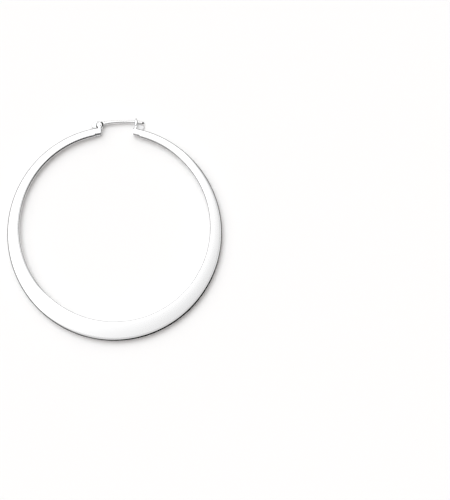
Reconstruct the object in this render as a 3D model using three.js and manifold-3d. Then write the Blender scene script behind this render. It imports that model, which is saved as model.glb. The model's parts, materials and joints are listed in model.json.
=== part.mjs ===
// A flat, tapered hoop earring, open at the top and closed there by a hinged ear wire.
// Lengths are in millimetres. The earring lies on its back face: X runs across the hoop,
// Y from the wide bottom of the hoop to its clasp, and Z up from the surface that it lies on.
// The origin is on that surface, under the middle of the whole earring.

import * as THREE from 'three';
import { mergeVertices } from 'three/addons/utils/BufferGeometryUtils.js';
import Module from 'manifold-3d';

const wasm = await Module();
wasm.setup();

// Band: a round outline, and a slightly oval opening that leaves it widest at the bottom
const OUTER_DIAMETER = 60;
const BAND_WIDTH_AT_BOTTOM = 5.35;
const BAND_WIDTH_AT_SIDES = 3.35;
const BAND_WIDTH_AT_CLASP = 2.15;
const BAND_THICKNESS = 2;
const EDGE_ROUNDING = 0.3;

// Hinge: two ears with a round slot between them, at the left end of the band
const RIVET_OFFSET = 4.35;
const RIVET_RISE = 0.71;
const EAR_WALL = 0.4;
const EAR_RADIUS = 0.75;
const NECK_WIDTH = 0.7;
const BAND_PAST_RIVET = 0.42;
const REAR_EAR_RADIUS = 1;
const LEDGE_PAST_RIVET = 0.1;
const LEDGE_DEPTH = 0.12;
const FRONT_TRIM = 0.5;
const LEDGE_LENGTH = 1.4;
const LEDGE_CORNER_RADIUS = 0.36;
const TAIL_ROOM = 0.5;

// Rivet through both ears
const RIVET_DIAMETER = 0.6;
const RIVET_HEAD_DIAMETER = 1.1;
const RIVET_HEAD_RISE = 0.22;
const RIVET_END_PLAY = 0.06;

// Ear wire: an arched round wire with a flattened, pear-shaped eye
const WIRE_DIAMETER = 1;
const WIRE_ROOT_RISE = 0.65;
const WIRE_TIP_RISE = 0.53;
const WIRE_ARCH = 0.48;
const WIRE_OVERHANG = 1.75;
const EYE_RADIUS = 1;
const TAIL_LENGTH = 1.73;
const TAIL_DROP = 0.21;
const TAIL_RADIUS = 0.6;
const SHOULDER_OFFSET = 0.75;
const SHOULDER_RISE = 0.34;
const SHOULDER_RADIUS = 0.82;
const EYE_NECK_RADIUS = 0.57;
const TIP_ROUNDING_RADIUS = 0.44;

// Catch: two prongs with a notch between them, at the right end of the band
const CATCH_OFFSET = 5.9;
const CATCH_LEAN = 0.48;
const PRONG_WIDTH = 0.93;
const PRONG_REACH = 0.62;
const PRONG_DEPTH = 0.2;
const STEM_TOP_WIDTH = 0.8;
const STEM_FOOT_WIDTH = 0.54;
const BAND_PAST_STEM = 0.34;
const END_TRIM = 0.25;
const END_TRIM_LENGTH = 1.7;
const CHEEK_RADIUS = 0.5;
const FOOT_PLATE_THICKNESS = 0.25;
const FOOT_PLATE_SETBACK = 0.1;
const FOOT_ANCHOR_RADIUS = 0.18;
const TONGUE_LENGTH = 1.65;
const TONGUE_RISE = 0.85;
const TONGUE_RADIUS = 0.6;

// Clearance of the rivet in its bore and of what runs or drops into something else, and how
// far the clasp's plates stand back from the band's two faces, so that it rests on its band
const BORE_CLEARANCE = 0.08;
const RUNNING_CLEARANCE = 0.125;
const PLATE_SETBACK = 0.05;

// Fineness of the facets
const BAND_SEGMENTS = 64;
const CORNER_SEGMENTS = 5;
const ROUND_SIDES = 24;
const WIRE_STEPS = 16;
const EDGE_STEPS = 2;
const MERGE_DISTANCE = 1e-5;

// Polished, silver-coloured plating
const SILVER_COLOUR = 0xe9e9ea;
const SILVER_ROUGHNESS = 0.12;

const outerRadius = OUTER_DIAMETER / 2;
const openingHalfWidth = outerRadius - BAND_WIDTH_AT_SIDES;
const openingHalfHeight = outerRadius - (BAND_WIDTH_AT_BOTTOM + BAND_WIDTH_AT_CLASP) / 2;
const openingLift = (BAND_WIDTH_AT_BOTTOM - BAND_WIDTH_AT_CLASP) / 2;
const wireRadius = WIRE_DIAMETER / 2;
const prongRadius = PRONG_WIDTH / 2;
const middleLevel = BAND_THICKNESS / 2;
const claspBottom = PLATE_SETBACK;
const claspTop = BAND_THICKNESS - PLATE_SETBACK;

// Height of the band's outer edge, in the clasp's half, at a distance across the hoop.
function outerEdge(x) {
  return Math.sqrt(outerRadius ** 2 - x ** 2);
}

// Height of the opening's edge, in the clasp's half, at a distance across the hoop.
function innerEdge(x) {
  return openingLift + openingHalfHeight * Math.sqrt(1 - (x / openingHalfWidth) ** 2);
}

const rivet = { x: -RIVET_OFFSET, y: outerEdge(RIVET_OFFSET) + RIVET_RISE };

// The wire's middle line is a parabola from the eye to the tip.
const wireRoot = new THREE.Vector3(rivet.x, rivet.y + WIRE_ROOT_RISE, middleLevel);
const wireTip = new THREE.Vector3(CATCH_OFFSET + WIRE_OVERHANG, rivet.y + WIRE_TIP_RISE, middleLevel);
const wireCrown = new THREE.Vector3().addVectors(wireRoot, wireTip).divideScalar(2);
wireCrown.y += 2 * WIRE_ARCH;
const wireLine = new THREE.QuadraticBezierCurve3(wireRoot, wireCrown, wireTip);

// Height of the wire's middle line at a distance across the hoop.
function wireHeight(x) {
  return wireLine.getPoint((x - wireRoot.x) / (wireTip.x - wireRoot.x)).y;
}

const prongTop = wireHeight(CATCH_OFFSET) + wireRadius + PRONG_REACH;

// A closed solid for joining and cutting, made from any closed geometry.
function toSolid(geometry) {
  const bare = geometry.clone();
  bare.deleteAttribute('normal');
  bare.deleteAttribute('uv');
  const merged = mergeVertices(bare, MERGE_DISTANCE);
  return new wasm.Manifold(new wasm.Mesh({
    numProp: 3,
    vertProperties: new Float32Array(merged.attributes.position.array),
    triVerts: new Uint32Array(merged.index.array),
  }));
}

// The geometry of a finished solid.
function toGeometry(solid) {
  const mesh = solid.getMesh();
  const geometry = new THREE.BufferGeometry();
  geometry.setAttribute('position', new THREE.BufferAttribute(mesh.vertProperties, 3));
  geometry.setIndex(new THREE.BufferAttribute(mesh.triVerts, 1));
  geometry.computeVertexNormals();
  return geometry;
}

function disc(x, y, radius) {
  return { x, y, radius };
}

// Where the straight tangent from one disc to the next leaves it, as an angle round the disc.
function tangentAngle(from, to) {
  const heading = Math.atan2(to.y - from.y, to.x - from.x);
  return heading - Math.acos((from.radius - to.radius) / Math.hypot(to.x - from.x, to.y - from.y));
}

// Outline of a belt round discs in counter-clockwise order: arcs joined by straight tangents.
function beltOutline(discs) {
  const outline = new THREE.Shape();
  discs.forEach((here, index) => {
    const before = discs.at(index - 1);
    const after = discs[(index + 1) % discs.length];
    const start = tangentAngle(before, here);
    const turn = THREE.MathUtils.euclideanModulo(tangentAngle(here, after) - start, 2 * Math.PI);
    outline.absarc(here.x, here.y, here.radius, start, start + turn);
  });
  return outline;
}

// The levels that a cut through the whole thickness starts and ends at
const belowAll = -BAND_THICKNESS;
const aboveAll = 2 * BAND_THICKNESS;

// A flat plate between two levels, with its edges rounded if asked.
function plate(outline, bottom, top, curveSegments = CORNER_SEGMENTS, rounding = 0) {
  const geometry = new THREE.ExtrudeGeometry(outline, {
    depth: top - bottom - 2 * rounding,
    bevelEnabled: rounding > 0,
    bevelThickness: rounding,
    bevelSize: rounding,
    bevelOffset: -rounding,
    bevelSegments: EDGE_STEPS,
    curveSegments,
  });
  geometry.translate(0, 0, bottom + rounding);
  return toSolid(geometry);
}

// A flat plate with the outline of a belt round some discs.
function belt(discs, bottom, top) {
  return plate(beltOutline(discs), bottom, top);
}

// A round bar or bore on the rivet's axis.
function onRivet(radius, bottom, top, sides = ROUND_SIDES) {
  const geometry = new THREE.CylinderGeometry(radius, radius, top - bottom, sides);
  geometry.rotateX(Math.PI / 2);
  geometry.translate(rivet.x, rivet.y, (bottom + top) / 2);
  return toSolid(geometry);
}

// The wire's eye turns in a slot that leaves a wall of the band as an ear on each side.
const slotBottom = EAR_WALL;
const slotTop = BAND_THICKNESS - EAR_WALL;
const tailReach = Math.hypot(TAIL_LENGTH, TAIL_DROP) + TAIL_RADIUS;
const boreRadius = RIVET_DIAMETER / 2 + BORE_CLEARANCE;

// The band ends at the hinge's neck on one side and at the catch's stem on the other.
const hingeEnd = rivet.x + BAND_PAST_RIVET;
const stemFoot = CATCH_OFFSET - CATCH_LEAN;
const catchEnd = stemFoot - BAND_PAST_STEM;
const ledgeCorner = rivet.x + LEDGE_PAST_RIVET;
const ledgeHeel = ledgeCorner - LEDGE_LENGTH;

// Middle of the band's width, in the clasp's half, at a distance across the hoop.
function bandMiddle(x) {
  return (outerEdge(x) + innerEdge(x)) / 2;
}

// The band between its two ends, as one closed outline with rounded edges.
function makeBand() {
  const outline = new THREE.Shape();
  outline.absarc(0, 0, outerRadius, Math.acos(catchEnd / outerRadius),
    Math.acos(hingeEnd / outerRadius) - 2 * Math.PI, true);
  outline.absellipse(0, openingLift, openingHalfWidth, openingHalfHeight,
    Math.acos(hingeEnd / openingHalfWidth), Math.acos(catchEnd / openingHalfWidth) + 2 * Math.PI, false);
  return plate(outline, 0, BAND_THICKNESS, BAND_SEGMENTS, EDGE_ROUNDING);
}

// Front ear on its neck, as thick as the band until the slot divides it.
function makeEar() {
  const head = disc(rivet.x, rivet.y, NECK_WIDTH / 2);
  const foot = disc(rivet.x, bandMiddle(rivet.x), NECK_WIDTH / 2);
  return onRivet(EAR_RADIUS, claspBottom, claspTop).add(belt([head, foot], claspBottom, claspTop));
}

// Wider rear ear, whose foot shows as a ledge inside the band's inner edge.
function makeRearEar() {
  const ledgeDisc = (x) => disc(x, innerEdge(x) - LEDGE_DEPTH + LEDGE_CORNER_RADIUS, LEDGE_CORNER_RADIUS);
  const corner = ledgeDisc(ledgeCorner);
  const heel = ledgeDisc(ledgeHeel);
  const ear = disc(rivet.x, rivet.y, REAR_EAR_RADIUS);
  return belt([corner, ear, heel], claspBottom, EAR_WALL - PLATE_SETBACK);
}

// Strip along the band's inner edge, for cutting that edge back between two places.
function makeTrim(fromX, toX, depth, bottom) {
  const trimDisc = (x) => disc(x, innerEdge(x) + depth - LEDGE_CORNER_RADIUS, LEDGE_CORNER_RADIUS);
  return belt([trimDisc(toX), trimDisc(fromX)], bottom, aboveAll);
}

// Two prongs on a leaning stem, cut apart by the notch that the wire drops into.
// Behind them a foot plate runs along the band, with a tongue under the wire's tip.
function makeCatch() {
  const notchFloor = wireHeight(CATCH_OFFSET + prongRadius) - wireRadius - RUNNING_CLEARANCE;
  const notchHeight = prongTop - notchFloor + PRONG_WIDTH;
  const notchWidth = PRONG_WIDTH + 2 * CHEEK_RADIUS;
  const notch = new THREE.BoxGeometry(notchWidth, notchHeight, WIRE_DIAMETER + 2 * RUNNING_CLEARANCE);
  notch.translate(CATCH_OFFSET, notchFloor + notchHeight / 2, middleLevel);

  const prong = [
    disc(CATCH_OFFSET, prongTop - prongRadius, prongRadius),
    disc(CATCH_OFFSET, notchFloor - PRONG_DEPTH, prongRadius),
  ];
  const stem = [
    disc(CATCH_OFFSET, notchFloor - PRONG_DEPTH, STEM_TOP_WIDTH / 2),
    disc(stemFoot, bandMiddle(stemFoot), STEM_FOOT_WIDTH / 2),
  ];
  const tongueX = CATCH_OFFSET + TONGUE_LENGTH;
  const footPlate = [
    disc(CATCH_OFFSET, bandMiddle(CATCH_OFFSET), FOOT_ANCHOR_RADIUS),
    disc(tongueX, outerEdge(tongueX) + TONGUE_RISE, TONGUE_RADIUS),
    disc(stemFoot, notchFloor, CHEEK_RADIUS),
  ];
  return belt(prong, claspBottom, claspTop)
    .add(belt(stem, claspBottom, claspTop))
    .subtract(toSolid(notch))
    .add(belt(footPlate, FOOT_PLATE_SETBACK, FOOT_PLATE_SETBACK + FOOT_PLATE_THICKNESS));
}

function makeHoop() {
  const slot = onRivet(tailReach + TAIL_ROOM, slotBottom, slotTop, 2 * ROUND_SIDES);
  const bore = onRivet(boreRadius, belowAll, aboveAll);
  const frontTrim = makeTrim(ledgeHeel, hingeEnd, FRONT_TRIM, slotBottom);
  const endTrim = makeTrim(catchEnd, catchEnd + END_TRIM_LENGTH, END_TRIM, belowAll);
  return makeBand().add(makeEar())
    .subtract(slot)
    .subtract(frontTrim)
    .subtract(endTrim)
    .add(makeRearEar())
    .subtract(bore)
    .add(makeCatch());
}

function makeEarWire() {
  const section = new THREE.Shape().absarc(0, 0, wireRadius, 0, 2 * Math.PI);
  const tube = new THREE.ExtrudeGeometry(section, {
    steps: WIRE_STEPS,
    curveSegments: CORNER_SEGMENTS,
    extrudePath: wireLine,
  });
  const tip = new THREE.SphereGeometry(TIP_ROUNDING_RADIUS, 2 * CORNER_SEGMENTS, CORNER_SEGMENTS);
  tip.translate(wireTip.x, wireTip.y, wireTip.z);

  const neckX = rivet.x + EYE_RADIUS;
  const eye = [
    disc(rivet.x, rivet.y, EYE_RADIUS),
    disc(neckX, wireHeight(neckX), EYE_NECK_RADIUS),
    disc(rivet.x - SHOULDER_OFFSET, rivet.y + SHOULDER_RISE, SHOULDER_RADIUS),
    disc(rivet.x - TAIL_LENGTH, rivet.y - TAIL_DROP, TAIL_RADIUS),
  ];
  return toSolid(tube)
    .add(toSolid(tip))
    .add(belt(eye, slotBottom + RUNNING_CLEARANCE, slotTop - RUNNING_CLEARANCE))
    .subtract(onRivet(boreRadius, belowAll, aboveAll))
    .translate([-rivet.x, -rivet.y, 0]);
}

// Shank with a low domed head in front; its back end stops short of the surface below.
function makeRivet() {
  const headLevel = BAND_THICKNESS + RIVET_END_PLAY;
  const shankRadius = RIVET_DIAMETER / 2;
  const headRadius = RIVET_HEAD_DIAMETER / 2;
  const dome = new THREE.EllipseCurve(0, headLevel, headRadius, RIVET_HEAD_RISE, 0, Math.PI / 2);
  const profile = [
    new THREE.Vector2(0, RIVET_END_PLAY),
    new THREE.Vector2(shankRadius, RIVET_END_PLAY),
    new THREE.Vector2(shankRadius, headLevel),
    ...dome.getPoints(CORNER_SEGMENTS),
  ];
  const geometry = new THREE.LatheGeometry(profile, ROUND_SIDES);
  geometry.rotateX(Math.PI / 2);
  return toSolid(geometry);
}

const polishedSilver = { color: SILVER_COLOUR, roughness: SILVER_ROUGHNESS, metalness: 1 };

function namedMesh(name, solid) {
  const mesh = new THREE.Mesh(toGeometry(solid), new THREE.MeshStandardMaterial(polishedSilver));
  mesh.name = name;
  return mesh;
}

const hoop = namedMesh('hoop', makeHoop());
const earWire = namedMesh('ear_wire', makeEarWire());
const hingePin = namedMesh('hinge_pin', makeRivet());
earWire.position.set(rivet.x, rivet.y, 0);
hingePin.position.set(rivet.x, rivet.y, 0);

// The prongs are the highest part towards the clasp, so half of their rise centres the earring.
const clasp = new THREE.Group();
clasp.add(hoop, earWire, hingePin);
clasp.position.y = (outerRadius - prongTop) / 2;

const earring = new THREE.Group();
earring.add(clasp);

export default earring;
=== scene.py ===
# %% [markdown]
# # A flat hoop earring with a hinged ear wire
# This notebook dresses a imported model of one polished, silver-coloured hoop earring that lies
# on its back. The imported solids give the places and the sizes; every piece that shows is made
# again here as a finer surface, because polished metal shows each facet in its reflections.

# %% Load the imported model
import json
import math

import bmesh
import bpy
import numpy as np
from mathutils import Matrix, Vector


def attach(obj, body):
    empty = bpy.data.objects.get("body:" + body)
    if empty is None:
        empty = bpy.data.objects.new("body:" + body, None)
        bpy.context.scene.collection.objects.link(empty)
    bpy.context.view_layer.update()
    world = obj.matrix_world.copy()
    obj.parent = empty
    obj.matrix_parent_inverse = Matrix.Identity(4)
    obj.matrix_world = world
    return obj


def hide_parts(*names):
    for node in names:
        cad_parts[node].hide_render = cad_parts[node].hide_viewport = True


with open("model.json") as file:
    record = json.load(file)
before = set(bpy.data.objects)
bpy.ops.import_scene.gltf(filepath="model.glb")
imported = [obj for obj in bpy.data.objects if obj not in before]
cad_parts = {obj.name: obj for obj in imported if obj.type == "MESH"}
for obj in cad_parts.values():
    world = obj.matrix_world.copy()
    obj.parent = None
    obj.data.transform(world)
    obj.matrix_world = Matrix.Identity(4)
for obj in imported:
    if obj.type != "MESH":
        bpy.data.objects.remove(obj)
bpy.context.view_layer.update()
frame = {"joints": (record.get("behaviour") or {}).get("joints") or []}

MM = 0.001


# %% [markdown]
# ## The sizes
# All lengths are in millimetres, as in the workshop, and each mesh is scaled to metres when it
# is built. The middle of the hoop's round outline is the working centre: X runs across the
# hoop and Y towards the clasp. The outline is a true circle and the opening is a slightly
# wider-than-high oval that sits nearer to the clasp, which makes the band narrow there and
# wide at the bottom.

# %% Sizes of the band
FULL_TURN = 2 * math.pi
OUTER_RADIUS = 30.0
OPENING_HALF_WIDTH = 26.65
OPENING_HALF_HEIGHT = 26.25
OPENING_LIFT = 1.6
THICKNESS = 2.0
MIDDLE = THICKNESS / 2


def outer_edge(x):
    """Height of the outer circle above the hoop's centre: sqrt(R^2 - x^2)."""
    return np.sqrt(OUTER_RADIUS ** 2 - x ** 2)


def inner_edge(x):
    """Height of the oval opening's edge: lift + half height * sqrt(1 - (x / half width)^2)."""
    return OPENING_LIFT + OPENING_HALF_HEIGHT * np.sqrt(1 - (x / OPENING_HALF_WIDTH) ** 2)


def opening_radius(angle):
    """Distance from the hoop's centre to the oval opening along a ray at an angle.

    The ray r * (cos, sin) meets the oval where a * r^2 + b * r + c = 0, and the positive root,
    (-b + sqrt(b^2 - 4 * a * c)) / (2 * a), is taken.
    """
    cos, sin = np.cos(angle), np.sin(angle)
    a = (cos / OPENING_HALF_WIDTH) ** 2 + (sin / OPENING_HALF_HEIGHT) ** 2
    b = -2 * OPENING_LIFT * sin / OPENING_HALF_HEIGHT ** 2
    c = (OPENING_LIFT / OPENING_HALF_HEIGHT) ** 2 - 1
    return (-b + np.sqrt(b * b - 4 * a * c)) / (2 * a)


# %% [markdown]
# The hinge's places are counted from its rivet and the catch's from its prongs. The hinge joint
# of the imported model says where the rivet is, so all pieces land on the solids. The ledge is the
# strip of the hinge's rear wall that shows below the front one, from its corner to its heel.

# %% Sizes of the hinge and the catch
RIVET_X = -4.35
RIVET_RISE = 0.71
RIVET_Y = math.sqrt(OUTER_RADIUS ** 2 - RIVET_X ** 2) + RIVET_RISE
RIVET = np.array([RIVET_X, RIVET_Y])
BORE_RADIUS = 0.38
WALL = 0.4
SLOT_RADIUS = 2.842
HINGE_END_FROM_RIVET = 0.42
HINGE_END = RIVET_X + HINGE_END_FROM_RIVET
LEDGE_CORNER_FROM_RIVET = 0.1
LEDGE_LENGTH = 1.4
LEDGE_CORNER = RIVET_X + LEDGE_CORNER_FROM_RIVET
LEDGE_HEEL = LEDGE_CORNER - LEDGE_LENGTH

CATCH_X = 5.9
STEM_FOOT_X = 5.42
CATCH_END = 5.08

rivet_place = frame["joints"][0]["pos_m"]
CENTRE_X = rivet_place[0] / MM - RIVET_X
CENTRE_Y = rivet_place[1] / MM - RIVET_Y

# %% [markdown]
# ## From an array to a mesh
# Every piece below is a grid of points: rows of closed loops. Neighbouring points are joined
# by four-sided faces as whole arrays. Where a loop shrinks to a point its doubles are merged,
# so the pole closes, and the signed volume tells whether the faces point outwards. Edges
# sharper than a set angle stay sharp in the shading, and all else is shaded smooth.

# %% Turn a grid of loops into a closed piece
SHARP_ANGLE = math.radians(35)
MERGE_DISTANCE = 2e-9


def grid_faces(rows, around, ring):
    """Corners of the faces that join point (i, j) to its neighbours i + 1 and j + 1."""
    index = np.arange(rows * around).reshape(rows, around)
    upper = np.roll(index, -1, axis=0) if ring else index[1:]
    lower = index if ring else index[:-1]
    faces = np.stack([lower, np.roll(lower, -1, axis=1), np.roll(upper, -1, axis=1), upper], axis=-1)
    return faces.reshape(-1, 4)


def signed_volume(place, faces):
    """Volume inside the faces: the sum of centre . (diagonal x other diagonal) / 6.

    It is positive where the faces point outwards.
    """
    corner = place[faces]
    diagonal = corner[:, 2] - corner[:, 0]
    other = corner[:, 3] - corner[:, 1]
    return np.einsum("ij,ij->", corner.mean(axis=1), np.cross(diagonal, other)) / 6


def lay_grid(name, loops, ring=False):
    """Makes a piece from loops[row, point] in mm; ring joins the last loop to the first."""
    place = loops.reshape(-1, 3) + np.array([CENTRE_X, CENTRE_Y, 0.0])
    faces = grid_faces(*loops.shape[:2], ring)
    volume = signed_volume(place, faces)
    if volume < 0:
        faces = faces[:, ::-1]

    mesh = bpy.data.meshes.new(name)
    mesh.from_pydata((place * MM).tolist(), [], faces.tolist())
    bm = bmesh.new()
    bm.from_mesh(mesh)
    bmesh.ops.remove_doubles(bm, verts=bm.verts, dist=MERGE_DISTANCE)
    open_edges = sum(not edge.is_manifold for edge in bm.edges)
    bm.to_mesh(mesh)
    bm.free()
    mesh.shade_smooth()
    mesh.set_sharp_from_angle(angle=SHARP_ANGLE)
    piece = bpy.data.objects.new(name, mesh)
    bpy.context.scene.collection.objects.link(piece)
    print(f"{name}: {len(mesh.polygons)} faces, {abs(volume):.3f} mm3, open edges {open_edges}")
    return piece


# %% [markdown]
# ## The band
# The real band is a flat casting, narrow at the clasp and wide at the bottom, with its edges
# rolled over in polishing. It could be a curve with a bevel, but then its width could not
# change so freely. Instead a section is carried round the hoop: a rectangle with rounded
# corners whose width at each station is the room between the oval opening and the outer circle.
# The upper corners are flatter than an ellipse, as a buffing wheel leaves them, and the face
# is very slightly crowned, by less than two hundredths of a millimetre.

# %% The band's section
CORNER_STEPS = 13
FACE_STEPS = 9
ROLL_POWER = 1.2
EXACT_DIGITS = 12


def quarter(centre, across, up, start, power=2.0):
    """Points of a quarter superellipse (x / across)^power + (y / up)^power = 1, and its normals.

    A point is centre + (across * cos^(2/power), up * sin^(2/power)) with the signs kept, from an
    angle of start quarters. Power 2 is an ellipse, and a lower one flattens it to a soft bevel.
    """
    turn = (start + np.linspace(0, 1, CORNER_STEPS)) * math.pi / 2
    cos, sin = np.cos(turn).round(EXACT_DIGITS), np.sin(turn).round(EXACT_DIGITS)
    flat = 2 / power
    x, y = np.sign(cos) * np.abs(cos) ** flat, np.sign(sin) * np.abs(sin) ** flat
    normal = np.stack([np.sign(cos) * np.abs(cos) ** (2 - flat) / across,
                       np.sign(sin) * np.abs(sin) ** (2 - flat) / up], axis=1)
    normal /= np.linalg.norm(normal, axis=1, keepdims=True)
    return centre[0] + across * x, centre[1] + up * y, normal


def section(low, high, inner_roll, outer_roll, under_inner, under_outer, crown=0.0):
    """A closed section as four arrays: share of the width, offset, height, and outward normal.

    A point's distance from the inner edge is share * width + offset. Each of the four corners has
    its own roll (across, up). The upper face between the corners dips by crown * (2 * share - 1)^2
    towards its sides.
    """
    lower_out = quarter((-under_outer[0], low + under_outer[1]), *under_outer, -1)
    upper_out = quarter((-outer_roll[0], high - crown - outer_roll[1]), *outer_roll, 0, ROLL_POWER)
    upper_in = quarter((inner_roll[0], high - crown - inner_roll[1]), *inner_roll, 1, ROLL_POWER)
    lower_in = quarter((under_inner[0], low + under_inner[1]), *under_inner, 2)
    across = np.linspace(1, 0, FACE_STEPS + 2)[1:-1]
    face_offset = -outer_roll[0] * across + inner_roll[0] * (1 - across)
    face_height = high - crown * (2 * across - 1) ** 2
    face = (face_offset, face_height, np.tile([0.0, 1.0], (FACE_STEPS, 1)))
    stretches = (lower_out, upper_out, face, upper_in, lower_in)
    offset, height, normal = (np.concatenate(column) for column in zip(*stretches))
    share = np.concatenate([np.ones(2 * CORNER_STEPS), across, np.zeros(2 * CORNER_STEPS)])
    return share, offset, height, normal


# %% [markdown]
# A station of the band need not be a straight radius: the band ends on straight cuts at the
# gap, and the hinge's slot ends on a circle round the rivet, or on a straight heel where that
# circle would leave a sliver. So each station is a curve whose angle depends on how far across
# the band a point lies, sliding from the first end to the last.

# %% Where the band's stretches begin and end
ACROSS_POINTS = 121
ACROSS = np.linspace(0, 1, ACROSS_POINTS)
HALFWAY = ACROSS_POINTS // 2
SEARCH_REACH = 0.3
SEARCH_HALVINGS = 40


def angle_on_cut(x):
    """Angles of the points, from the inner to the outer edge, of a straight cut at one x."""
    return np.arctan2(inner_edge(x) + ACROSS * (outer_edge(x) - inner_edge(x)), x)


def angle_on_slot():
    """Angles where the band's width meets the slot's circle round the rivet.

    At each place across the band the room between an angle inside the circle and one outside
    it is halved again and again.
    """
    near = angle_on_cut(HINGE_END)
    far = near + SEARCH_REACH
    for _ in range(SEARCH_HALVINGS):
        middle = (near + far) / 2
        radius = opening_radius(middle) + ACROSS * (OUTER_RADIUS - opening_radius(middle))
        reach = np.hypot(radius * np.cos(middle) - RIVET_X, radius * np.sin(middle) - RIVET_Y)
        near = np.where(reach < SLOT_RADIUS, middle, near)
        far = np.where(reach < SLOT_RADIUS, far, middle)
    return near


catch_cut = angle_on_cut(CATCH_END)
hinge_cut = angle_on_cut(HINGE_END) - FULL_TURN
slot_wall = np.maximum(angle_on_slot(), angle_on_cut(LEDGE_HEEL)) - FULL_TURN

# %% [markdown]
# The stations lie closer together where the shape changes. A free end of the band is rounded
# over like the end of a filed bar. It could be a bevel on the finished mesh, but a section that
# shrinks along its own normals keeps the reflection smooth over the end.

# %% Stations and rounded ends
END_ROUND = 0.12
END_ROUND_STEPS = 6


def smooth_step(value):
    """0 below 0, 1 above 1, and 3 * v^2 - 2 * v^3 between."""
    v = np.clip(value, 0, 1)
    return v * v * (3 - 2 * v)


def stations(count, dense):
    """Shares s - dense * sin(2 * pi * s) / (2 * pi) from 0 to 1, closer together at both ends."""
    s = np.linspace(0, 1, count)
    return s - dense * np.sin(FULL_TURN * s) / FULL_TURN


def rounded(shares, length, round_first, round_last):
    """The stations' shares and insets, once the ends are rounded over.

    At a distance e * (1 - sin t) from a rounded end the section is inset by e * (1 - cos t), with
    t falling from a quarter turn at the end itself to 0. The given shares fill the rest.
    """
    start_share = END_ROUND / length if round_first else 0
    end_share = 1 - END_ROUND / length if round_last else 1
    shares = start_share + (end_share - start_share) * shares
    inset = np.zeros(len(shares))
    turn = np.linspace(math.pi / 2, 0, END_ROUND_STEPS)
    if round_first:
        shares = np.concatenate([start_share * (1 - np.sin(turn)), shares[1:]])
        inset = np.concatenate([END_ROUND * (1 - np.cos(turn)), inset[1:]])
    if round_last:
        turn = turn[::-1]
        shares = np.concatenate([shares[:-1], 1 - (1 - end_share) * (1 - np.sin(turn))])
        inset = np.concatenate([inset[:-1], END_ROUND * (1 - np.cos(turn))])
    return shares, inset


def blended(shares, profile, into):
    """A section for each station: the first turns smoothly into the second on the first half."""
    mix = smooth_step(2 * shares)[:, None]
    share, offset, height = ((1 - mix) * a + mix * b for a, b in zip(profile[:3], into[:3]))
    normal = (1 - mix[..., None]) * profile[3] + mix[..., None] * into[3]
    return share, offset, height, normal


# %% [markdown]
# The section is carried from one end curve to the other by formula, for all stations at once,
# and closes on a pole at both ends. The opening's edge can be trimmed back, for the places where
# the real band is filed narrower, without moving the outer edge or the polished face.

# %% Carry the section round the hoop
def no_trim(x):
    """The opening's edge as it is."""
    return 0 * x


def trimmed(radius, angle, trim):
    """How far the opening's edge steps back at a point on the clasp's side, where sin > 0."""
    return trim(radius * np.cos(angle)) * (np.sin(angle) > 0)


def close_ends(loops, radius, angle):
    """Adds a pole to each end: a loop of doubles in the middle of the end's curve."""
    ends = [0, -1]
    level = loops[ends, :, 2]
    centre_level = (level.min(axis=1) + level.max(axis=1)) / 2
    poles = [radius[ends] * np.cos(angle[ends]), radius[ends] * np.sin(angle[ends]), centre_level]
    caps = np.stack(poles, axis=-1)[:, None] + 0 * loops[ends]
    return np.concatenate([caps[:1], loops, caps[1:]])


def carry(first, last, shares, profile, into=None, trim=no_trim, round_first=False, round_last=False):
    """The band's surface between two end curves, as loops of points.

    At share s the angle of a point is first + s * (last - first), both taken at the point's own
    place across the band, which is 1 + ((share - 1) * kept width + offset) / full width. Its
    radius is opening radius + trim + share * width + offset, less the inset along its normal.
    """
    length = OUTER_RADIUS * abs(last[HALFWAY] - first[HALFWAY])
    shares, inset = rounded(shares, length, round_first, round_last)
    share, offset, height, normal = blended(shares, profile, into or profile)
    middle = first[HALFWAY] + shares * (last[HALFWAY] - first[HALFWAY])
    opening = opening_radius(middle)
    kept = OUTER_RADIUS - opening - trimmed(opening, middle, trim)
    across = 1 + ((share - 1) * kept[:, None] + offset) / (OUTER_RADIUS - opening)[:, None]
    across = np.clip(across, 0, 1)
    start, end = np.interp(across, ACROSS, first), np.interp(across, ACROSS, last)
    angle = start + shares[:, None] * (end - start)
    inner = opening_radius(angle)
    inner = inner + trimmed(inner, angle, trim)
    radius = inner + share * (OUTER_RADIUS - inner) + offset - inset[:, None] * normal[..., 0]
    level = height - inset[:, None] * normal[..., 1] + 0 * radius
    loops = np.stack([radius * np.cos(angle), radius * np.sin(angle), level], axis=-1)
    return close_ends(loops, (opening + OUTER_RADIUS) / 2, middle)


# %% [markdown]
# From the catch round to the hinge's slot the band has its full thickness. Near the catch its
# lower edge steps back a little, as if filed for the soldered catch. The stations are dense at
# both ends, where the curves bend, and wider apart along the plain ring.

# %% The full-thickness stretch, from the catch round to the hinge's slot
INNER_ROLL = (0.4, 0.25)
OUTER_ROLL = (0.5, 0.3)
UNDER_INNER = (0.12, 0.12)
UNDER_OUTER = (0.4, 0.7)
CROWN = 0.016
BAND_STATIONS = 1500
BAND_DENSE = 0.85
END_TRIM = 0.25
END_TRIM_LENGTH = 1.7
END_TRIM_X = CATCH_END + END_TRIM_LENGTH
TRIM_EASE = 0.35


def catch_end_trim(x):
    """The trim between the band's end at the catch and one place, eased half before it."""
    return END_TRIM * (1 - smooth_step((x - END_TRIM_X) / TRIM_EASE + 1 / 2)) * (x > 0)


band_profile = section(0, THICKNESS, INNER_ROLL, OUTER_ROLL, UNDER_INNER, UNDER_OUTER, CROWN)
band_loops = carry(catch_cut, slot_wall, stations(BAND_STATIONS, BAND_DENSE), band_profile,
                   trim=catch_end_trim, round_first=True)
band = lay_grid("hoop_band", band_loops)

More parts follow.
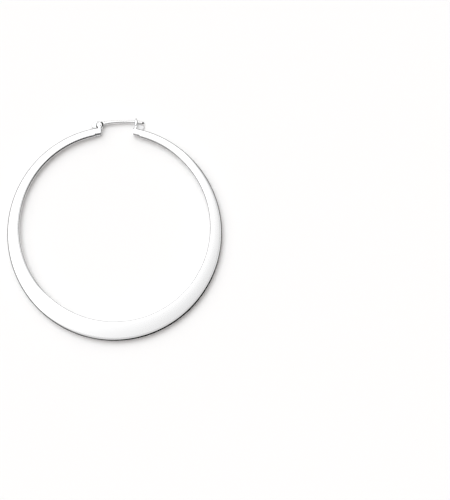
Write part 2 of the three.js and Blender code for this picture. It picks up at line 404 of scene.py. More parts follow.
# %% [markdown]
# ## The two walls of the hinge's slot
# Between the slot and the gap the casting is split into a front wall and a rear wall, and the
# ear wire's flattened eye turns between them. On the real part the slot is probably sawn. A
# boolean cut would do the same here, but it would break up the smooth face. So each wall is the
# section carried on, only thinner, and the polished face runs through. The front wall's lower
# edge is cut back, and the rear wall shows below it as a narrow ledge.

# %% Front and rear wall
WALL_STATIONS = 260
EVEN = 0.0
FRONT_TRIM = 0.3
FRONT_ROLL = (0.3, 0.2)
SLOT_EDGE_ROUND = 0.03
SLOT_EDGE = (SLOT_EDGE_ROUND, SLOT_EDGE_ROUND)
REAR_EDGE = (0.18, 0.12)
REAR_UNDER_OUTER = (0.25, 0.25)


def front_trim(x):
    """The front wall's lower edge steps back by the trim from the heel of the ledge on."""
    return FRONT_TRIM * smooth_step((x - LEDGE_HEEL) / TRIM_EASE)


wall_shares = stations(WALL_STATIONS, EVEN)
front_start, front_end = (
    section(THICKNESS - WALL, THICKNESS, inner_roll, OUTER_ROLL, SLOT_EDGE, SLOT_EDGE, CROWN)
    for inner_roll in (INNER_ROLL, FRONT_ROLL))
front_loops = carry(slot_wall, hinge_cut, wall_shares, front_start, into=front_end,
                    trim=front_trim, round_last=True)
front_wall = lay_grid("hinge_front_wall", front_loops)
rear_profile = section(0, WALL, REAR_EDGE, REAR_EDGE, UNDER_INNER, REAR_UNDER_OUTER)
rear_loops = carry(slot_wall, hinge_cut, wall_shares, rear_profile, round_last=True)
rear_wall = lay_grid("hinge_rear_wall", rear_loops)

# %% [markdown]
# ## Flat plates with rounded edges
# The ears, the catch and the wire's eye are flat parts with soft edges. Each could be a cube
# cut by booleans, but an outline drawn as a function gives cleaner edges. It is drawn in by
# formula at every inset, so that it never folds over itself, and its points are spaced evenly.

# %% Outlines
DIRECTIONS = 2880
AROUND = 400
LEAST_ROUND = 0.01
FAR_ENOUGH = 1e-6
turn_around = np.linspace(0, FULL_TURN, DIRECTIONS, endpoint=False)
compass = np.stack([np.cos(turn_around), np.sin(turn_around)], axis=1)


def belt(*discs):
    """Outline of a belt pulled tight round discs (x, y, radius), for any inset.

    In each direction n the belt touches the disc with the largest centre . n + radius, at
    centre + (radius - inset) * n.
    """
    discs = np.array(discs, float)
    chosen = np.argmax(compass @ discs[:, :2].T + discs[:, 2], axis=1)

    def outline(inset):
        """The belt's points once every radius is less by the inset."""
        return discs[chosen, :2] + np.clip(discs[chosen, 2:] - inset, LEAST_ROUND, None) * compass

    return outline


def keyhole(radius, neck, foot, blend):
    """Outline of the front ear: a disc on a neck, round the rivet, for any inset.

    Along a ray at an angle t from straight down, the disc reaches radius, the neck's side
    (neck / 2) / |sin t| and its foot foot / cos t. The lesser of the last two and then the larger
    of that and the disc are taken as power means, (a^p + b^p)^(1/p), with p below or above 0,
    which rounds the corners between them. An inset is taken off each length.
    """
    ray = np.stack([np.sin(turn_around), -np.cos(turn_around)], axis=1)
    below = np.clip(np.cos(turn_around), FAR_ENOUGH, None)
    beside = np.clip(np.abs(np.sin(turn_around)), FAR_ENOUGH, None)

    def outline(inset):
        """The ear's points once every length is less by the inset."""
        side = ((neck / 2 - inset) / beside) ** -blend + ((foot - inset) / below) ** -blend
        side = np.where(np.cos(turn_around) > 0, side ** (-1 / blend), 0)
        reach = ((radius - inset) ** blend + side ** blend) ** (1 / blend)
        return RIVET + reach[:, None] * ray

    return outline


def evenly(outline, insets):
    """Loops of the outline at several insets, at places that are evenly spaced along inset 0."""
    dense = outline(0)
    walked = np.cumsum(np.linalg.norm(np.roll(dense, -1, axis=0) - dense, axis=1))
    walked = np.concatenate([[0], walked])
    wanted = np.linspace(0, walked[-1], AROUND, endpoint=False)
    place = np.interp(wanted, walked, np.arange(DIRECTIONS + 1))
    before = place.astype(int)
    after = (before + 1) % DIRECTIONS
    between = (place - before)[:, None]
    return np.stack([(1 - between) * loop[before] + between * loop[after]
                     for loop in map(outline, insets)])


# %% [markdown]
# The outline goes from the middle of the upper face over the soft rim, down the side, round the
# lower edge and back to the middle, as a stack of loops. It closes on a point, or on the
# rivet's bore.

# %% Stack an outline into a plate
EDGE_STEPS = 11
RIM_POWER = 1.4
INWARD_STEPS = 31
SUPPORT = 0.02
DISH_FROM, DISH_TO = 0.8, 1.12


def side_rows(low, high, upper_rim, lower_round):
    """Inset and level of each loop, from the upper face over the edge to the lower face.

    The upper rim is a soft bevel (across, up): the outline is drawn in by across * (1 - cos^k t)
    while the level falls by up * (1 - sin^k t), with k = 2 / rim power. The lower edge is a small
    round: drawn in by r * (1 - cos t) where the level is low + r * (1 - sin t).
    """
    turn = np.linspace(math.pi / 2, 0, EDGE_STEPS)
    cos, sin = np.cos(turn).round(EXACT_DIGITS), np.sin(turn)
    still = np.zeros(INWARD_STEPS + 1)
    rim = upper_rim[0] * (1 - cos ** (2 / RIM_POWER))
    fall = upper_rim[1] * (1 - sin ** (2 / RIM_POWER))
    under = lower_round * (1 - cos[::-1])
    rise = lower_round * (1 - sin[::-1])
    inset = np.concatenate([upper_rim[0] + still, rim, under, lower_round + still])
    level = np.concatenate([high + still, high - fall, low + rise, low + still])
    return inset, level


def plate(name, outline, low, high, upper_rim, lower_round, bore=None, dish=0.0):
    """A plate between two levels, as a stack of loops from the middle over the edge and back.

    Inside the rim a loop lies along rays from the middle, or from the rivet where there is a
    bore, at first + (near - first) * a + (rim - near) * b. Here a and then b go from 0 to 1,
    first is the bore's radius or 0, and near is half the way or, round a bore, the dish's edge.
    A dish sinks the upper face by dish * (1 - s), where s steps smoothly from 0 to 1.
    """
    inward = np.concatenate([np.linspace(1, 2 * SUPPORT, INWARD_STEPS), [SUPPORT]])
    inset, level = side_rows(low, high, upper_rim, lower_round)
    flat = evenly(outline, inset)
    middle = flat[EDGE_STEPS + len(inward)].mean(axis=0) if bore is None else RIVET
    reach = np.linalg.norm(flat - middle, axis=-1, keepdims=True)
    ray = (flat - middle) / reach
    near = reach / 2 if bore is None else np.minimum(reach, DISH_TO)
    first = bore or 0
    to_near = np.clip(2 * (1 - inward), 0, 1)[:, None, None]
    to_rim = np.clip(1 - 2 * inward, 0, 1)[:, None, None]
    top, bottom = slice(0, len(inward)), slice(len(level) - len(inward), None)
    for rows, a, b in ((top, to_near, to_rim), (bottom, to_near[::-1], to_rim[::-1])):
        reach[rows] = first + (near[rows] - first) * a + (reach[rows] - near[rows]) * b
    flat = middle + reach * ray
    sink = dish * (1 - smooth_step((reach[..., 0] - DISH_FROM) / (DISH_TO - DISH_FROM)))
    sink[len(inward) + EDGE_STEPS:] = 0
    loops = np.concatenate([flat, (level[:, None] - sink)[..., None]], axis=-1)
    return lay_grid(name, loops, ring=bore is not None)


# %% [markdown]
# ## The hinge's two ears
# An ear is the lug that holds the rivet. The front one is a small disc on a narrow neck above
# the front wall. The rear one is larger, and runs down behind the eye to the ledge. On the real
# part both belong to the casting. They are plates of their own here, let into the walls, since
# their edges are what shows. The front ear lies a hair below the polished face, so that the
# two faces never fight for the same place.

# %% The hinge's two ears
EAR_RADIUS = 0.76
NECK_WIDTH = 0.8
NECK_LENGTH = 1.9
NECK_BLEND = 10
EAR_RIM = (0.12, 0.1)
EDGE_CLEAR = 0.004
REAR_EAR_RADIUS = 1.02
REAR_EAR_RIM = (0.18, 0.14)
LEDGE_DEPTH = 0.06
LEDGE_ROUND = 0.36
BACK_CLEAR = 0.05
REAR_CLEAR = 0.02
BACK_ROUND = 0.1


def ledge_disc(x):
    """A corner disc of the ledge, whose lowest point lies just below the opening's edge."""
    return x, inner_edge(x) - LEDGE_DEPTH + LEDGE_ROUND, LEDGE_ROUND


front_ear = plate("hinge_front_ear", keyhole(EAR_RADIUS, NECK_WIDTH, NECK_LENGTH, NECK_BLEND),
                  THICKNESS - WALL, THICKNESS - EDGE_CLEAR, EAR_RIM, SLOT_EDGE_ROUND, bore=BORE_RADIUS)
rear_outline = belt(ledge_disc(LEDGE_CORNER), (RIVET_X, RIVET_Y, REAR_EAR_RADIUS), ledge_disc(LEDGE_HEEL))
rear_ear = plate("hinge_rear_ear", rear_outline,
                 BACK_CLEAR, WALL - REAR_CLEAR, REAR_EAR_RIM, BACK_ROUND, bore=BORE_RADIUS)

# %% [markdown]
# ## The ear wire
# The wire is drawn silver-coloured wire of about 1 mm, slightly arched, with its end hammered
# flat for the hinge. It could be a curve object with a round bevel, but its taper, its blunt
# tip and its flattened root need a radius and a height of their own at each place. So circles
# are carried along a parabola.

# %% The wire's middle line
WIRE_RADIUS = 0.5
WIRE_ROOT_RISE = 0.35
WIRE_TIP_RISE = 0.68
WIRE_OVERHANG = 1.75
WIRE_ARCH = 0.56
WIRE_ROOT = np.array([RIVET_X, RIVET_Y + WIRE_ROOT_RISE])
WIRE_TIP = np.array([CATCH_X + WIRE_OVERHANG, RIVET_Y + WIRE_TIP_RISE])
WIRE_CROWN = (WIRE_ROOT + WIRE_TIP) / 2 + np.array([0, 2 * WIRE_ARCH])


def wire_point(t):
    """Middle line of the wire: the parabola (1-t)^2 root + 2t(1-t) crown + t^2 tip, and its slope."""
    t = np.asarray(t, float)[..., None]
    place = (1 - t) ** 2 * WIRE_ROOT + 2 * t * (1 - t) * WIRE_CROWN + t ** 2 * WIRE_TIP
    slope = 2 * (1 - t) * (WIRE_CROWN - WIRE_ROOT) + 2 * t * (WIRE_TIP - WIRE_CROWN)
    return place, slope / np.linalg.norm(slope, axis=-1, keepdims=True)


def wire_height(x):
    """Height of the wire's middle line at a distance across the hoop."""
    return float(wire_point((x - WIRE_ROOT[0]) / (WIRE_TIP[0] - WIRE_ROOT[0]))[0][1])


# %% [markdown]
# The round part is thickest at the root, where it comes out of the flattened eye, and thinnest
# at the tip, which is blunt and rounded so that it doesn't hurt the ear. Its circles stand
# square to the middle line, and shrink to a point at both ends.

# %% The round part of the wire
WIRE_STATIONS = 160
WIRE_AROUND = 48
WIRE_ROOT_RADIUS = 0.55
WIRE_TIP_RADIUS = 0.37
WIRE_START = 0.085
ROOT_LENGTH = 0.13
ROOT_FLATNESS = 0.78
TIP_REACH = 0.55
TIP_STEPS = 24
TIP_EASE = 0.5
TIP_POWER = 0.8


def round_wire():
    """Circles centre(t) + r(t) * (cos a * normal + sin a * up).

    The radius r falls evenly from the root to the tip, and over the blunt end as
    tip radius * (1 - u)^power to nothing. Near the root the circles are flattened, so that they
    come out of the eye without a step.
    """
    along = np.linspace(WIRE_START, 1, WIRE_STATIONS)
    tip = np.linspace(0, 1, TIP_STEPS)[1:] ** TIP_EASE
    t = np.concatenate([along[:1], along, np.ones(len(tip))])
    entry = smooth_step((t - WIRE_START) / ROOT_LENGTH)
    taper = WIRE_ROOT_RADIUS + (WIRE_TIP_RADIUS - WIRE_ROOT_RADIUS) * along
    radius = np.concatenate([[0], taper, WIRE_TIP_RADIUS * (1 - tip) ** TIP_POWER])
    reach = np.concatenate([np.zeros(len(along) + 1), TIP_REACH * tip])
    radius[-1] = 0
    place, slope = wire_point(t)
    place = place + reach[:, None] * slope
    normal = np.stack([-slope[:, 1], slope[:, 0]], axis=1)
    a = np.linspace(0, FULL_TURN, WIRE_AROUND, endpoint=False)
    flat = place[:, None] + (radius[:, None] * np.cos(a))[..., None] * normal[:, None]
    level = MIDDLE + (radius * (ROOT_FLATNESS + (1 - ROOT_FLATNESS) * entry))[:, None] * np.sin(a)
    return np.concatenate([flat, level[..., None]], axis=-1)


wire = lay_grid("ear_wire_bow", round_wire())

# %% [markdown]
# The flattened end is a pear-shaped plate with a real bore for the rivet: a belt round the
# eye's disc, a small disc under the wire, a shoulder and a tail that points down the band. A
# shallow dish round the bore lets the front ear stand free of it. The eye is thinner than the
# slot, so it turns between the walls with a gap on both sides.

# %% The wire's flattened eye
EYE_RADIUS = 1.0
EYE_NECK_FROM_RIVET, EYE_NECK_RADIUS = 1.05, 0.53
EYE_SHOULDER_X, EYE_SHOULDER_Y, EYE_SHOULDER_RADIUS = RIVET_X - 0.75, RIVET_Y + 0.34, 0.82
EYE_TAIL_X, EYE_TAIL_Y, EYE_TAIL_RADIUS = RIVET_X - 1.73, RIVET_Y - 0.21, 0.6
EYE_LOW, EYE_HIGH = 0.525, 1.475
EYE_RIM = (0.18, 0.16)
EYE_ROUND = 0.2
EYE_DISH = 0.2

eye_neck_x = RIVET_X + EYE_NECK_FROM_RIVET
eye_outline = belt((RIVET_X, RIVET_Y, EYE_RADIUS),
                   (eye_neck_x, wire_height(eye_neck_x), EYE_NECK_RADIUS),
                   (EYE_SHOULDER_X, EYE_SHOULDER_Y, EYE_SHOULDER_RADIUS),
                   (EYE_TAIL_X, EYE_TAIL_Y, EYE_TAIL_RADIUS))
eye = plate("ear_wire_eye", eye_outline, EYE_LOW, EYE_HIGH, EYE_RIM, EYE_ROUND,
            bore=BORE_RADIUS, dish=EYE_DISH)

# %% [markdown]
# ## The rivet
# The rivet runs through both ears and the eye, and its hammered head is a low dome on the
# front. It is thinner than the bore, as it has to be to turn. Like a turned part it is a
# profile spun round its axis. A cylinder with a bevel would give the same shank, but not the
# dome.

# %% Rivet
DOME_RADIUS = 0.5
DOME_RISE = 0.07
DOME_FOOT = THICKNESS
DOME_STEPS = 16
SHANK_RADIUS = 0.3
SHANK_FOOT = 0.06
RIVET_AROUND = 60


def turned(profile):
    """Circles round the rivet's axis, one for each (radius, level) of a profile."""
    radius, level = np.array(profile, float).T
    flat = RIVET + radius[:, None, None] * compass[::DIRECTIONS // RIVET_AROUND]
    return np.concatenate([flat, level[:, None, None] + 0 * flat[..., :1]], axis=-1)


dome_turn = np.linspace(0, math.pi / 2, DOME_STEPS)
dome = np.stack([DOME_RADIUS * np.cos(dome_turn), DOME_FOOT + DOME_RISE * np.sin(dome_turn)], axis=1)
dome[-1, 0] = 0
shank = [(0, SHANK_FOOT), (SHANK_RADIUS, SHANK_FOOT), (SHANK_RADIUS, DOME_FOOT)]
rivet = lay_grid("hinge_rivet", turned([*shank, *dome]))

# %% [markdown]
# ## The catch
# The wire snaps into a notch between two leaf-shaped prongs, one in front of it and one behind.
# On the real part they are probably cut from sheet and soldered to a leaning stem. Each is a
# plate with rounded edges, so that its bright face has the thin dark outline of polished sheet.

# %% Prongs
NOTCH_GAP = 0.025
NOTCH_LOW = WALL - NOTCH_GAP
NOTCH_HIGH = THICKNESS - NOTCH_LOW
NOTCH_CLEAR = 0.125
PRONG_RADIUS = 0.465
PRONG_OVER_WIRE = 0.495
PRONG_TOP = wire_height(CATCH_X) + WIRE_RADIUS + PRONG_OVER_WIRE
PRONG_TIP_RADIUS = 0.2
PRONG_FOOT_SHIFT, PRONG_FOOT_DROP, PRONG_FOOT_RADIUS = 0.1, 0.35, 0.3
FRONT_PRONG_RIM = (0.24, 0.2)
REAR_PRONG_RIM = (0.1, 0.1)
NOTCH_FLOOR = wire_height(CATCH_X + PRONG_RADIUS) - WIRE_RADIUS - NOTCH_CLEAR
PLATE_FACE = THICKNESS - BACK_CLEAR

prong_outline = belt((CATCH_X, PRONG_TOP - PRONG_TIP_RADIUS, PRONG_TIP_RADIUS),
                     (CATCH_X, wire_height(CATCH_X), PRONG_RADIUS),
                     (CATCH_X - PRONG_FOOT_SHIFT, NOTCH_FLOOR - PRONG_FOOT_DROP, PRONG_FOOT_RADIUS))
front_prong = plate("catch_front_prong", prong_outline,
                    NOTCH_HIGH, PLATE_FACE, FRONT_PRONG_RIM, SLOT_EDGE_ROUND)
rear_prong = plate("catch_rear_prong", prong_outline,
                   BACK_CLEAR, NOTCH_LOW, REAR_PRONG_RIM, BACK_ROUND)

# %% [markdown]
# The stem leans from the notch to the middle of the band's width and fills the room between
# the prongs. Behind it lies a thin foot plate, whose rounded tongue reaches out under the
# wire's tip. It is the only part that isn't polished to a mirror.

# %% Stem and foot plate
STEM_TOP_RADIUS = 0.4
STEM_FOOT_RADIUS = 0.27
STEM_LOW = 0.06
STEM_SINK = 0.1
STEM_RIM = (0.18, 0.14)
TONGUE_FROM_CATCH, TONGUE_RISE, TONGUE_RADIUS = 1.65, 0.85, 0.6
FOOT_END_RADIUS = 0.18
FOOT_TOP_RADIUS = 0.5
FOOT_LOW, FOOT_HIGH = 0.1, 0.35
FOOT_RIM = (0.15, 0.1)


def band_middle(x):
    """Middle of the band's width near the clasp."""
    return float((outer_edge(x) + inner_edge(x)) / 2)


stem_outline = belt((CATCH_X, NOTCH_FLOOR - STEM_TOP_RADIUS, STEM_TOP_RADIUS),
                    (STEM_FOOT_X, band_middle(STEM_FOOT_X), STEM_FOOT_RADIUS))
stem = plate("catch_stem", stem_outline, STEM_LOW, PLATE_FACE - STEM_SINK, STEM_RIM, BACK_ROUND)
tongue_x = CATCH_X + TONGUE_FROM_CATCH
foot_outline = belt((CATCH_X, band_middle(CATCH_X), FOOT_END_RADIUS),
                    (tongue_x, float(outer_edge(tongue_x)) + TONGUE_RISE, TONGUE_RADIUS),
                    (STEM_FOOT_X, NOTCH_FLOOR, FOOT_TOP_RADIUS))
foot_plate = plate("catch_foot_plate", foot_outline, FOOT_LOW, FOOT_HIGH, FOOT_RIM, BACK_ROUND)

# %% [markdown]
# ## What moves with what
# The band, both ears and the catch are one body. The rivet is fixed in the ears, so it rides
# with the hoop, and only the wire with its eye swings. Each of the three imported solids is
# replaced by the piece that stands for it.

# %% Which body each piece moves with, and what it stands for
for piece in (band, front_wall, rear_wall, front_ear, rear_ear, front_prong, rear_prong, stem, foot_plate):
    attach(piece, "hoop")
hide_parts("hoop")
for piece in (wire, eye):
    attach(piece, "ear_wire")
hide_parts("ear_wire")
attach(rivet, "hoop")
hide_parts("hinge_pin")
print("solids replaced: hoop, ear_wire, hinge_pin; pieces that swing:", wire.name, eye.name)

# %% [markdown]
# ## Polished silver
# Polished plating is a mirror that is never quite clean: it has hairlines from the polishing
# cloth and a thin, cloudy film of handling. A plain metal of one roughness would look like
# chrome paint. So the roughness follows a soft noise, and a stretched noise raises hairlines.

# %% Shader nodes
def add_node(tree, kind, settings=None, operation=None):
    """Adds one shader node, with its operation and the inputs that settings name or number."""
    node = tree.nodes.new(kind)
    if operation:
        node.operation = operation
    for key, value in (settings or {}).items():
        node.inputs[key].default_value = value
    return node


# %% [markdown]
# The metal is made in the same way for every finish, and only its colour, its roughness and the
# depth of its hairlines differ. The noises follow the model's own coordinates, so that the marks
# stay on the metal as it moves.

# %% The metal
FILM_SCALE, FILM_DETAIL = 320, 6
HAIRLINE_STRETCH = (9000, 700, 700)
HAIRLINE_SCALE, HAIRLINE_DETAIL = 1, 4
HAIRLINE_HEIGHT = 0.000004


def polished_metal(name, colour, roughness, hairline_depth):
    """Metallic shader whose roughness varies with a cloudy film and whose bump is fine hairlines.

    The roughness runs from the first to the second value given as the film's noise runs from
    0 to 1. The hairlines are a noise squeezed in one direction far more than in the others.
    """
    material = bpy.data.materials.new(name)
    material.use_nodes = True
    tree = material.node_tree
    shader = tree.nodes["Principled BSDF"]
    shader.inputs["Base Color"].default_value = (*colour, 1)
    shader.inputs["Metallic"].default_value = 1
    place = add_node(tree, "ShaderNodeTexCoord")
    film = add_node(tree, "ShaderNodeTexNoise", {"Scale": FILM_SCALE, "Detail": FILM_DETAIL})
    spread = add_node(tree, "ShaderNodeMapRange", {"To Min": roughness[0], "To Max": roughness[1]})
    stretch = add_node(tree, "ShaderNodeMapping", {"Scale": HAIRLINE_STRETCH})
    hairlines = add_node(tree, "ShaderNodeTexNoise", {"Scale": HAIRLINE_SCALE, "Detail": HAIRLINE_DETAIL})
    bump = add_node(tree, "ShaderNodeBump", {"Strength": hairline_depth, "Distance": HAIRLINE_HEIGHT})
    for output, to in (
            (place.outputs["Object"], film.inputs["Vector"]),
            (film.outputs["Fac"], spread.inputs["Value"]),
            (spread.outputs["Result"], shader.inputs["Roughness"]),
            (place.outputs["Object"], stretch.inputs["Vector"]),
            (stretch.outputs["Vector"], hairlines.inputs["Vector"]),
            (hairlines.outputs["Fac"], bump.inputs["Height"]),
            (bump.outputs["Normal"], shader.inputs["Normal"])):
        tree.links.new(output, to)
    return material


# %% [markdown]
# Shade is painted into the wire's metal in three places: two beside the front ear, where the gap between
# the ear and the eye lies in shade, and one on the wire's blunt tip, which shows a dark reflection. It
# could be a texture, but the places are few and known.
# So each is a soft-edged ball in which the metal's colour turns dark: painted shade and a painted dark
# reflection.

# %% Painted shade beside the front ear and on the wire's tip
SPOT_LEVEL = 1.3
SPOT_CORE = 0.72
# the dark colour painted in as shade and dark reflection
PAINTED_SHADE_COLOUR = (0.035, 0.034, 0.032, 1)
# places of the painted shade: at the ear's right, at its lower left, and the painted dark reflection on
# the wire's tip
EAR_RIGHT_SPOT = (RIVET_X + 0.5, RIVET_Y + 0.3, 0.72)
EAR_LOWER_LEFT_SPOT = (RIVET_X - 0.54, RIVET_Y - 0.36, 0.54)
TIP_SPOT = (WIRE_TIP[0] + 0.3, WIRE_TIP[1] - 0.15, 0.46)


def paint_shade_spots(material, spots):
    """Paints shade into the metal round spots (x, y, reach), given in mm from the hoop's centre.

    The share of painted shade rises evenly from 0 at a spot's reach to 1 at core * reach. Where
    spots meet the larger share counts, and the colour is mixed by it.
    """
    tree = material.node_tree
    shader = tree.nodes["Principled BSDF"]
    place = add_node(tree, "ShaderNodeTexCoord")
    share = None
    for x, y, reach in spots:
        spot = Vector((x + CENTRE_X, y + CENTRE_Y, SPOT_LEVEL)) * MM
        away = add_node(tree, "ShaderNodeVectorMath", {1: spot}, "DISTANCE")
        tree.links.new(place.outputs["Object"], away.inputs[0])
        fade = add_node(tree, "ShaderNodeMapRange",
                        {"From Min": reach * MM, "From Max": SPOT_CORE * reach * MM})
        tree.links.new(away.outputs["Value"], fade.inputs["Value"])
        if share is None:
            share = fade.outputs["Result"]
        else:
            larger = add_node(tree, "ShaderNodeMath", operation="MAXIMUM")
            tree.links.new(share, larger.inputs[0])
            tree.links.new(fade.outputs["Result"], larger.inputs[1])
            share = larger.outputs["Value"]
    tint = add_node(tree, "ShaderNodeMixRGB",
                    {"Color1": shader.inputs["Base Color"].default_value, "Color2": PAINTED_SHADE_COLOUR})
    tree.links.new(share, tint.inputs["Fac"])
    tree.links.new(tint.outputs["Color"], shader.inputs["Base Color"])


# %% [markdown]
# Four finishes tell the parts apart as on the real piece: the cast hoop is the best polished,
# the drawn wire and the hammered rivet are a little duller, and the foot plate, which sits
# where no wheel comes, is left satin.

# %% The four finishes
# each finish: colour, roughness from and to, depth of the hairlines
WIRE_FINISH = ((0.95, 0.949, 0.947), (0.07, 0.16), 0.45)
HOOP_FINISH = ((0.95, 0.95, 0.953), (0.05, 0.12), 0.3)
RIVET_FINISH = ((0.94, 0.942, 0.948), (0.1, 0.2), 0.4)
SATIN_FINISH = ((0.86, 0.86, 0.865), (0.32, 0.45), 0.6)

wire_silver = polished_metal("wire_silver", *WIRE_FINISH)
# painted shade and a painted dark reflection on the wire and its eye
paint_shade_spots(wire_silver, [EAR_RIGHT_SPOT, EAR_LOWER_LEFT_SPOT, TIP_SPOT])
finishes = [
    (polished_metal("polished_silver", *HOOP_FINISH),
     (band, front_wall, rear_wall, front_ear, rear_ear, front_prong, rear_prong, stem)),
    (wire_silver, (wire, eye)),
    (polished_metal("rivet_silver", *RIVET_FINISH), (rivet,)),
    (polished_metal("satin_silver", *SATIN_FINISH), (foot_plate,)),
]
for material, pieces in finishes:
    for piece in pieces:
        piece.data.materials.append(material)
    print(material.name, "on", len(pieces), "pieces")

# %% [markdown]
# ## The studio
# The earring lies on a pale, matt floor. A mirror shows only what surrounds it, so the light is
# built for the reflections. A grey plane is enough for the floor, since paper has no shine.

# %% Floor
FLOOR_SIZE = 6
FLOOR_COLOUR = (0.9, 0.9, 0.9, 1)
FLOOR_ROUGHNESS = 0.9
FLOOR_SHINE = 0.0

bpy.ops.mesh.primitive_plane_add(size=FLOOR_SIZE)
floor = bpy.context.object
floor.name = "floor"
paper = bpy.data.materials.new("pale_floor")
paper.use_nodes = True
paper_inputs = paper.node_tree.nodes["Principled BSDF"].inputs
paper_inputs["Base Color"].default_value = FLOOR_COLOUR
paper_inputs["Roughness"].default_value = FLOOR_ROUGHNESS
paper_inputs["Specular IOR Level"].default_value = FLOOR_SHINE
floor.data.materials.append(paper)
print("floor, m:", FLOOR_SIZE, "grey:", FLOOR_COLOUR[0])

# %% [markdown]
# A wide dome of light hangs overhead and leans a little to the upper left: the flat face
# reflects it and is white. Its edge, and a black card low at the lower right, give the rolled
# edges their thin dark lines. Shaped lamps could do this too, but a sky drawn by angles is set
# directly from the reflections wanted. It is brighter on the upper left side than on the other,
# which shades the slightly crowned face, and its far side is lifted again for the rolled edges.

# %% Sizes and strengths of the sky
WINDOW_ANGLE = math.radians(119)
WINDOW_FROM_ZENITH = math.radians(12)
WINDOW_FULL = math.radians(54)
WINDOW_EDGE = math.radians(70)
ROOM_DARK = 0.08
CARD_ANGLE = math.radians(303)
CARD_FROM_ZENITH = math.radians(80)
CARD_DARK = math.radians(34)
CARD_EDGE = math.radians(50)
CARD_BLACK = 0.03
SIDE_ANGLE = math.radians(138)
SIDE_BRIGHT, SIDE_BRIGHT_AT = 1.3, 0.125
SIDE_PALE, SIDE_PALE_AT = 0.68, -0.03
FAR_SIDE_LIFT, FAR_SIDE_FROM, FAR_SIDE_TO = 1.35, -0.15, -0.4
WHITE = (1, 1, 1, 1)
SKY_ON_FLOOR = (1.0, 0.96, 0.94)
BACKDROP = 0.99

world = bpy.data.worlds.new("studio")
bpy.context.scene.world = world
world.use_nodes = True
sky = world.node_tree
sky.nodes.clear()
direction = add_node(sky, "ShaderNodeTexCoord")


def sky_cosine(towards):
    """Cosine between a direction of the sky and a unit vector."""
    lean = add_node(sky, "ShaderNodeVectorMath", {1: towards}, "DOT_PRODUCT")
    sky.links.new(direction.outputs["Generated"], lean.inputs[0])
    return lean.outputs["Value"]


def sky_math(operation, *values):
    """One arithmetic step on the sky's values."""
    step = add_node(sky, "ShaderNodeMath", operation=operation)
    for socket, value in zip(step.inputs, values):
        sky.links.new(value, socket)
    return step.outputs["Value"]


def sky_fade(value, start, end, at_start, at_end):
    """Fades evenly from one strength to another as a value goes from start to end."""
    fade = add_node(sky, "ShaderNodeMapRange",
                    {"From Min": start, "From Max": end, "To Min": at_start, "To Max": at_end})
    sky.links.new(value, fade.inputs["Value"])
    return fade.outputs["Result"]


def sky_angle(compass_angle, from_zenith):
    """Angle between a direction of the sky and a place at a compass angle and zenith distance.

    It is the arc cosine of the product with (sin z * cos c, sin z * sin c, cos z).
    """
    across = math.sin(from_zenith)
    place = (across * math.cos(compass_angle), across * math.sin(compass_angle), math.cos(from_zenith))
    return sky_math("ARCCOSINE", sky_cosine(place))


# %% [markdown]
# The strength of the sky is the product of its four parts. Three kinds of rays are told apart:
# what the camera sees past the floor is a plain backdrop, mirrors see the sky in white, and
# everything else is lit by the warm sky.

# %% Sky
window = sky_fade(sky_angle(WINDOW_ANGLE, WINDOW_FROM_ZENITH), WINDOW_FULL, WINDOW_EDGE, 1, ROOM_DARK)
card = sky_fade(sky_angle(CARD_ANGLE, CARD_FROM_ZENITH), CARD_DARK, CARD_EDGE, CARD_BLACK, 1)
sideways = sky_cosine((math.cos(SIDE_ANGLE), math.sin(SIDE_ANGLE), 0))
side = sky_fade(sideways, SIDE_PALE_AT, SIDE_BRIGHT_AT, SIDE_PALE, SIDE_BRIGHT)
far_side = sky_fade(sideways, FAR_SIDE_FROM, FAR_SIDE_TO, 1, FAR_SIDE_LIFT)
strength = sky_math("MULTIPLY", sky_math("MULTIPLY", window, card), sky_math("MULTIPLY", side, far_side))
studio = add_node(sky, "ShaderNodeBackground")
warm = add_node(sky, "ShaderNodeMixRGB", {"Color1": (*SKY_ON_FLOOR, 1), "Color2": WHITE})
backdrop = add_node(sky, "ShaderNodeBackground", {"Color": (BACKDROP, BACKDROP, BACKDROP, 1)})
seen = add_node(sky, "ShaderNodeLightPath")
choose = add_node(sky, "ShaderNodeMixShader")
output = add_node(sky, "ShaderNodeOutputWorld")
for source, to in (
        (strength, studio.inputs["Strength"]),
        (warm.outputs["Color"], studio.inputs["Color"]),
        (seen.outputs["Is Camera Ray"], choose.inputs["Fac"]),
        (seen.outputs["Is Glossy Ray"], warm.inputs["Fac"]),
        (studio.outputs["Background"], choose.inputs[1]),
        (backdrop.outputs["Background"], choose.inputs[2]),
        (choose.outputs["Shader"], output.inputs["Surface"])):
    sky.links.new(source, to)
print("sky:", len(sky.nodes), "nodes,", len(sky.links), "links")

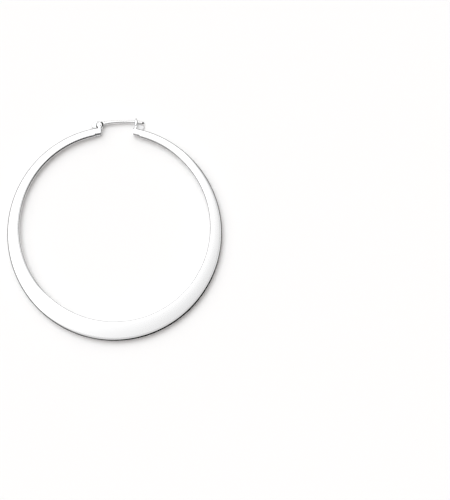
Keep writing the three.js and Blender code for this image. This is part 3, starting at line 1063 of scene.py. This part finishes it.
# %% [markdown]
# ## The lamp
# One wide, soft lamp from the upper left adds the shadow beside the lower right of the hoop.
# It is a distant lamp with a large angle, as a big diffuser far away would be. It stays out
# of the mirror, where its round disc would show.

# %% Lamp
KEY_ANGLE = 120
KEY_HEIGHT = 60
KEY_SPREAD = 45
KEY_STRENGTH = 1.24
KEY_COLOUR = (0.94, 1.0, 1.03)


def soft_lamp(name, angle, height, spread, energy, colour):
    """A distant lamp at a compass angle and height, in degrees, as wide as its spread.

    It shines from the direction (cos a * cos h, sin a * cos h, sin h).
    """
    light = bpy.data.lights.new(name, "SUN")
    light.energy = energy
    light.color = colour
    light.angle = math.radians(spread)
    lamp = bpy.data.objects.new(name, light)
    a, h = math.radians(angle), math.radians(height)
    towards = Vector((math.cos(a) * math.cos(h), math.sin(a) * math.cos(h), math.sin(h)))
    lamp.rotation_euler = towards.to_track_quat("Z", "Y").to_euler()
    lamp.visible_glossy = False
    bpy.context.scene.collection.objects.link(lamp)
    return lamp


key = soft_lamp("key", KEY_ANGLE, KEY_HEIGHT, KEY_SPREAD, KEY_STRENGTH, KEY_COLOUR)
bpy.context.scene.view_settings.view_transform = "Standard"
print("lamp:", key.name, "from", KEY_ANGLE, "degrees, height", KEY_HEIGHT, "strength", key.data.energy)

# %% [markdown]
# ## The camera
# The photograph looks almost straight down, past the right of the earring, with a long lens
# from a little below. So the camera is aimed at a place beside the hoop and tilted slightly.

# %% Camera
LENS = 104
SENSOR_WIDTH = 36
NEAREST = 0.01
CAMERA_TILT = math.radians(2.72)
CAMERA_DISTANCE = 362.4
AIMED_AT = (30.81, -5.84, 1.9)

camera_data = bpy.data.cameras.new("camera")
camera_data.lens = LENS
camera_data.sensor_width = SENSOR_WIDTH
camera_data.sensor_fit = "HORIZONTAL"
camera_data.clip_start = NEAREST
camera = bpy.data.objects.new("camera", camera_data)
bpy.context.scene.collection.objects.link(camera)
target = Vector(AIMED_AT) * MM
back_off = Vector((0, -math.sin(CAMERA_TILT), math.cos(CAMERA_TILT)))
camera.location = target + CAMERA_DISTANCE * MM * back_off
camera.rotation_euler = (CAMERA_TILT, 0, 0)
bpy.context.scene.camera = camera
